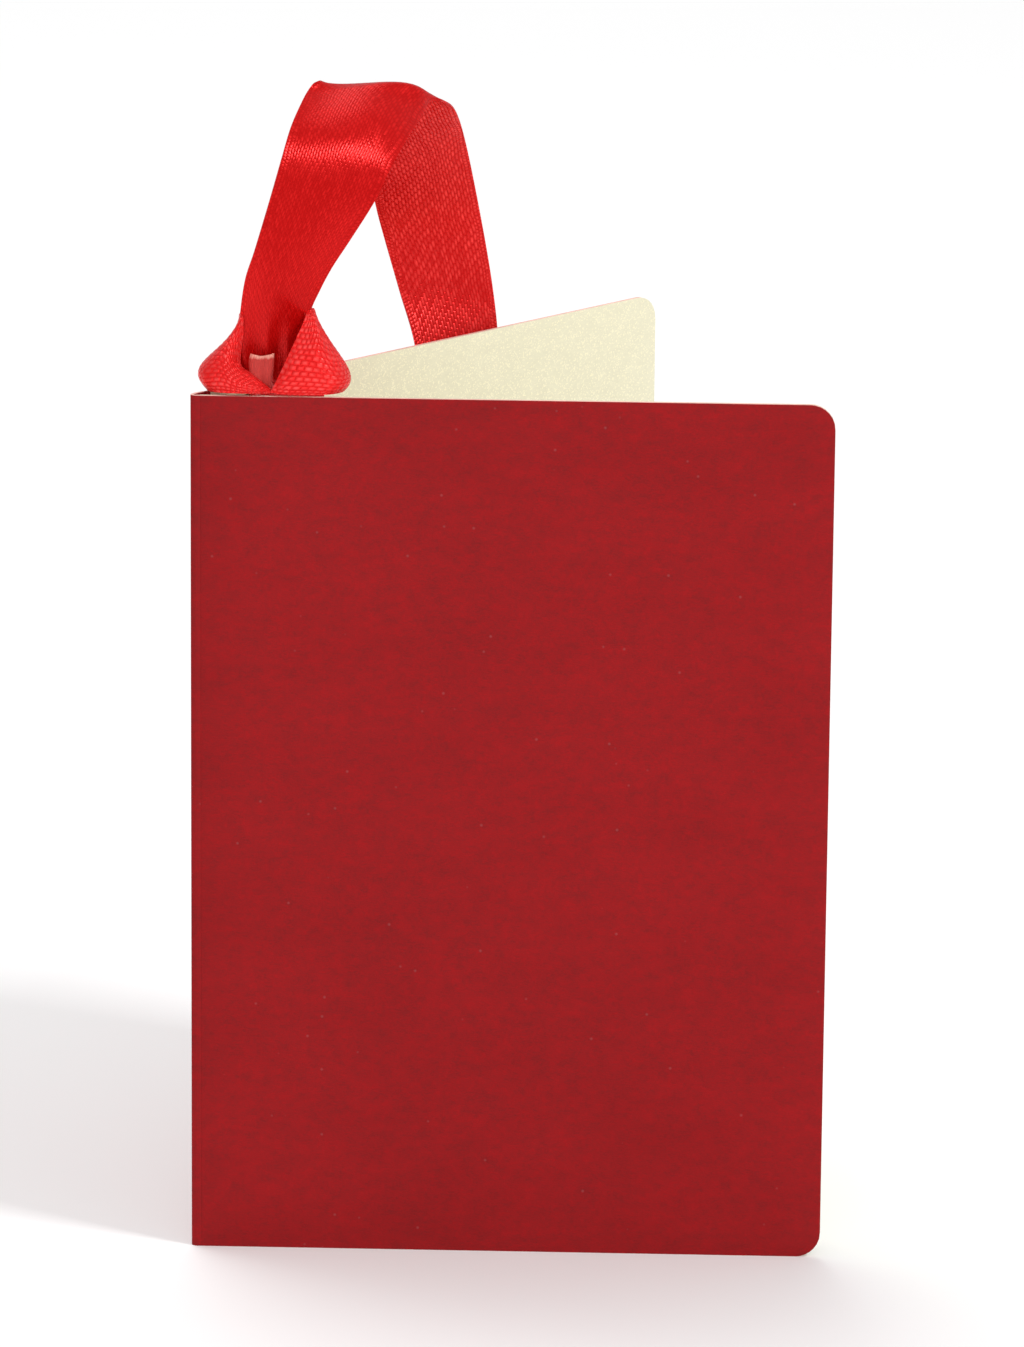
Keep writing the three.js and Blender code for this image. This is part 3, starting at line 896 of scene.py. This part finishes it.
class NOTEBOOK_OT_leaves(bpy.types.Operator):
    """Makes the leaves, each one riding on its own body"""
    bl_idname = "notebook.leaves"
    bl_label = "Make Leaves"
    bl_options = {"REGISTER", "UNDO"}

    def execute(self, context):
        sizes = context.scene.notebook_sizes
        edge = 0.4 * MM
        spine_depth = (BACK_CREASE - FRONT_CREASE).y
        first = spine_depth - sizes.card - (SEAM_GAP + CAD_LINING + FIRST_LEAF_GAP) * MM
        for i in range(LEAF_COUNT):
            node = f"leaf_{i + 1:02d}"
            middle = -first + i * sizes.leaf_pitch
            place = Matrix.Translation(BACK_CREASE) @ Matrix.Rotation(LEAF_FAN * (i + 1), 4, "Z")
            leaf = sheet_piece(f"paper_{node}", edge, edge + sizes.leaf_width, sizes.leaf_margin,
                               HEIGHT - sizes.leaf_margin, sizes.corner_radius, middle - sizes.leaf / 2,
                               middle + sizes.leaf / 2, sizes.leaf_bow, [MATERIALS["paper"]], place,
                               edge_width=0.01 * MM)
            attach(leaf, node)
            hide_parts(node)
        return {"FINISHED"}


class NOTEBOOK_OT_binding(bpy.types.Operator):
    """Gives the binding glue its finish"""
    bl_idname = "notebook.binding"
    bl_label = "Finish Binding"
    bl_options = {"REGISTER", "UNDO"}

    def execute(self, context):
        for slot in frame["nodes"]["binding_glue"].material_slots:
            slot.material = MATERIALS["glue"]
        return {"FINISHED"}


class NOTEBOOK_OT_ribbon(bpy.types.Operator):
    """Makes the ribbon's loop and the strand inside the back cover"""
    bl_idname = "notebook.ribbon"
    bl_label = "Make Ribbon"
    bl_options = {"REGISTER", "UNDO"}

    def execute(self, context):
        sizes = context.scene.notebook_sizes
        grid, across, travelled = band_grid(loop_stations(), row_spacing=0.33, columns=41)
        loop_length = travelled[-1]
        at_hole = np.clip((travelled - (loop_length - 16)) / 12, 0, 1) * 0.55
        at_knot = np.clip((9 - travelled) / 9, 0, 1) * 0.35
        grid = pleat(grid, across, at_hole + at_knot, count=3)
        loop = band_object("ribbon_loop", grid, across, travelled, sizes.ribbon_width)
        satin, inside = MATERIALS["satin"], MATERIALS["satin_inside"]
        loop = finish_band(loop, "ribbon_loop", sizes, 0.012 * MM, 0.05 * MM, satin, inside)
        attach(loop, "back_cover")
        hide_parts("ribbon_stem", "ribbon_top_fold", "ribbon_back_strand", "ribbon_return",
                    "ribbon_through_hole")
        inner = [
            bulged(along_back(10.9, -0.25, 94.7), along_back(15.1, -0.25, 94.7)),
            bulged(along_back(10.8, -0.45, 95.6), along_back(15.2, -0.45, 95.6)),
            bulged(along_back(10.3, -0.68, 96.8), along_back(15.7, -0.68, 96.8)),
            bulged(along_back(9.2, -0.70, 98.2), along_back(16.9, -0.70, 98.2)),
            bulged(along_back(7.8, -0.70, 100.4), along_back(18.4, -0.70, 100.4)),
            bulged(along_back(6.9, -0.70, 102.4), along_back(18.6, -0.70, 102.4)),
            bulged(along_back(6.0, -1.15, 104.6), along_back(16.6, -1.15, 104.6)),
            bulged(along_back(5.0, -1.40, 106.0), along_back(13.6, -1.70, 106.0)),
        ]
        grid, across, travelled = band_grid(inner, row_spacing=0.3, columns=49)
        at_hole = 0.24 * np.clip(1 - travelled / 2.6, 0, 1)
        at_knot = 0.40 * np.clip((travelled - 8.3) / 2.0, 0, 1)
        grid = pleat(grid, across, at_hole + at_knot, count=4)
        strand = band_object("ribbon_inner", grid, across, travelled, sizes.ribbon_width)
        strand = finish_band(strand, "ribbon_inner", sizes, 0.004 * MM, 0.0, satin, inside)
        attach(strand, "back_cover")
        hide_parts("ribbon_inner_strand")
        return {"FINISHED"}


class NOTEBOOK_OT_knot(bpy.types.Operator):
    """Makes the knot's collar and the cut end that stands in it"""
    bl_idname = "notebook.knot"
    bl_label = "Make Knot"
    bl_options = {"REGISTER", "UNDO"}

    def execute(self, context):
        sizes = context.scene.notebook_sizes
        grid, across, travelled = band_grid(collar_stations(), row_spacing=0.2, columns=57)
        collar = band_object("knot_collar", grid, across, travelled, sizes.ribbon_width)
        # The collar wears the reverse-side satin, toned brighter as painted light.
        collar = finish_band(collar, "knot_collar", sizes, 0.03 * MM, 0.05 * MM, MATERIALS["satin_back"],
                             spacing=(0.75, 0.6))
        end = [
            bulged((7.6, 1.7, 105.5), (9.4, 1.9, 105.5), (0, -0.1, 0)),
            bulged((7.0, 2.0, 107.2), (9.5, 2.2, 107.2), (0, -0.2, 0)),
            bulged((6.8, 2.3, 108.6), (9.6, 2.4, 108.7), (0, -0.3, 0)),
            bulged((7.0, 2.6, 109.5), (9.6, 2.6, 109.6), (0, -0.3, -0.2)),
        ]
        grid, across, travelled = band_grid(end, row_spacing=0.12, columns=33)
        grid = pleat(grid, across, np.full(len(travelled), 0.12), count=1.5)
        tail = band_object("ribbon_tail", grid, across, travelled, sizes.ribbon_width)
        tail = finish_band(tail, "ribbon_tail", sizes, 0.01 * MM, 0.0, MATERIALS["ribbon_end"])
        knot = joined("ribbon_knot", collar, tail)
        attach(knot, "back_cover")
        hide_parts("ribbon_knot_core", "ribbon_left_lapel", "ribbon_right_lapel", "ribbon_cut_end")
        return {"FINISHED"}


class NOTEBOOK_OT_stage(bpy.types.Operator):
    """Makes the floor, the lights and the camera"""
    bl_idname = "notebook.stage"
    bl_label = "Make Stage"
    bl_options = {"REGISTER", "UNDO"}

    def execute(self, context):
        make_floor()
        make_lights()
        make_camera()
        return {"FINISHED"}


def make_floor():
    half = 4.0
    mesh = bpy.data.meshes.new("Floor")
    corners = [(-half, -half, 0), (half, -half, 0), (half, half, 0), (-half, half, 0)]
    mesh.from_pydata(corners, [], [(0, 1, 2, 3)])
    floor = new_object("Floor", mesh)
    material, tree, shader = new_material("Pale floor", 0.9, 0.1)
    faint = noise(tree, object_position(tree), 3.0)
    feed(tree, mix_colour(tree, faint, (0.96, 0.96, 0.96, 1), (0.98, 0.98, 0.98, 1)), shader["Base Color"])
    mesh.materials.append(material)


def make_lights():
    bpy.context.scene.view_settings.view_transform = "Standard"
    world = bpy.data.worlds.new("Studio")
    bpy.context.scene.world = world
    world.use_nodes = True
    background = world.node_tree.nodes["Background"]
    background.inputs["Color"].default_value = (1, 1, 1, 1)
    background.inputs["Strength"].default_value = 0.52
    for name, place, size, power in (
            ("Key", (0.77, -0.41, 0.97), 0.20, 6.0),
            ("Fill", (-0.1, -1.2, 0.25), 0.8, 3.2),
            ("Top", (-0.7, 1.0, 2.4), 1.8, 31.0)):
        lamp = bpy.data.lights.new(name, "AREA")
        lamp.size = size
        lamp.energy = power
        holder = new_object(name, lamp)
        holder.location = place
        aim = Vector((0, 0, 0.06)) - Vector(place)
        holder.rotation_mode = "QUATERNION"
        holder.rotation_quaternion = aim.to_track_quat("-Z", "Y")


def make_camera():
    """A long lens in front of the notebook, looking a little down."""
    camera = bpy.data.cameras.new("Camera")
    camera.sensor_fit = "VERTICAL"
    camera.sensor_height = 36
    camera.sensor_width = 36
    camera.lens = 222.4
    camera.clip_end = 20
    camera.dof.use_dof = False
    holder = new_object("Camera", camera)
    yaw, pitch, roll = math.radians(1.57), math.radians(15.47), math.radians(0.51)
    place = FRONT_CREASE + Vector((63.76, -943.6, 333.2)) * MM
    ahead = Vector((-math.sin(yaw), math.cos(yaw), 0))
    side = Vector((math.cos(yaw), math.sin(yaw), 0))
    forward = ahead * math.cos(pitch) - Vector((0, 0, 1)) * math.sin(pitch)
    upward = ahead * math.sin(pitch) + Vector((0, 0, 1)) * math.cos(pitch)
    right = side * math.cos(roll) + upward * math.sin(roll)
    top = upward * math.cos(roll) - side * math.sin(roll)
    turn = Matrix((right, top, -forward)).transposed()
    holder.matrix_world = Matrix.Translation(place) @ turn.to_4x4()
    bpy.context.scene.camera = holder


class NOTEBOOK_PT_panel(bpy.types.Panel):
    """Sizes, colours and steps of the notebook"""
    bl_idname = "NOTEBOOK_PT_panel"
    bl_label = "Pocket Notebook"
    bl_space_type = "VIEW_3D"
    bl_region_type = "UI"
    bl_category = "Notebook"

    def draw(self, context):
        for group in (context.scene.notebook_sizes, context.scene.notebook_colours):
            box = self.layout.box()
            for name in group.__annotations__:
                box.prop(group, name)
        for step in STEPS:
            self.layout.operator(step.bl_idname)


STEPS = (NOTEBOOK_OT_materials, NOTEBOOK_OT_stage, NOTEBOOK_OT_cover, NOTEBOOK_OT_linings, NOTEBOOK_OT_leaves,
         NOTEBOOK_OT_binding, NOTEBOOK_OT_ribbon, NOTEBOOK_OT_knot)
CLASSES = (NotebookSizes, NotebookColours) + STEPS + (NOTEBOOK_PT_panel,)


def register():
    for cls in CLASSES:
        bpy.utils.register_class(cls)
    bpy.types.Scene.notebook_sizes = bpy.props.PointerProperty(type=NotebookSizes)
    bpy.types.Scene.notebook_colours = bpy.props.PointerProperty(type=NotebookColours)


def unregister():
    del bpy.types.Scene.notebook_colours
    del bpy.types.Scene.notebook_sizes
    for cls in reversed(CLASSES):
        bpy.utils.unregister_class(cls)


def main():
    register()
    bpy.ops.notebook.materials()
    bpy.ops.notebook.stage()
    bpy.ops.notebook.cover()
    bpy.ops.notebook.linings()
    bpy.ops.notebook.leaves()
    bpy.ops.notebook.binding()
    bpy.ops.notebook.ribbon()
    bpy.ops.notebook.knot()


if __name__ == "__main__":
    main()
